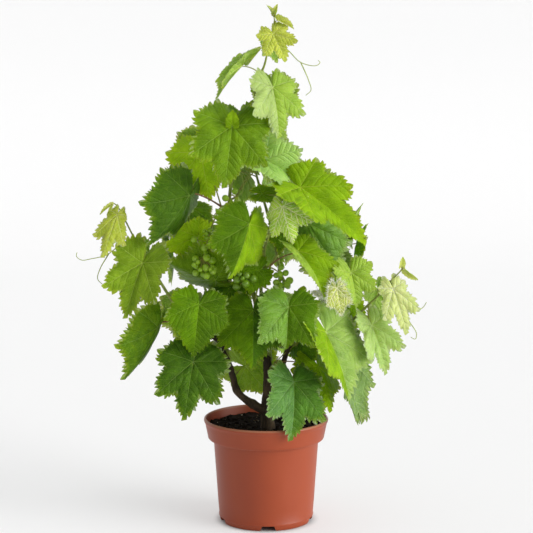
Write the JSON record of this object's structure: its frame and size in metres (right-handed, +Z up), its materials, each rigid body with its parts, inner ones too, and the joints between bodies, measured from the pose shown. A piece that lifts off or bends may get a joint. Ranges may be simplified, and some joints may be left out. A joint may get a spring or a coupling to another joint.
{
  "type": "potted grapevine",
  "caption": "Young grapevine in a tapered pot: woody trunk and arms, green shoots, lobed leaves, tendrils and unripe green grapes.",
  "frame": {"origin": "centre of the pot's flat underside, where the pot stands", "axes": "+Z up along the pot's axis, -Y towards the front of the plant, +X to the right seen from the front"},
  "size_m": [0.5517, 0.2947, 0.822],
  "materials": {
    "pot": "moulded terracotta-coloured plastic, satin",
    "compost": "dark lumpy potting compost",
    "bark": "dark grey-brown fissured bark",
    "green_wood": "smooth green-brown young shoot",
    "foliage": "satin green leaf, paler underneath",
    "fruit": "waxy unripe green berry"
  },
  "bodies": {
    "root": {"pot": "pot", "soil": "compost", "trunk": "bark", "left_arm": "bark", "right_cane": "bark", "leader": "green_wood", "centre_shoot": "green_wood", "left_shoot": "green_wood", "right_shoot": "green_wood", "back_shoot": "green_wood", "back_left_shoot": "green_wood", "back_right_shoot": "green_wood", "leaves_top": "foliage", "leaves_upper_front": "foliage", "leaves_upper_back": "foliage", "leaves_upper_left": "foliage", "leaves_upper_right": "foliage", "leaves_centre_front": "foliage", "leaves_centre": "foliage", "leaves_right_middle": "foliage", "leaves_centre_low": "foliage", "leaves_left_middle": "foliage", "leaves_left_spray": "foliage", "leaves_left_low": "foliage", "leaves_left_bottom": "foliage", "leaves_low_back": "foliage", "leaves_low_right": "foliage", "leaves_right_low": "foliage", "leaves_right_upper": "foliage", "leaves_right_spray": "foliage", "leaves_back_top": "foliage", "leaves_back_middle": "foliage", "leaves_back_left": "foliage", "leaves_back_right": "foliage", "leaves_back_low": "foliage"}
  },
  "joints": []
}
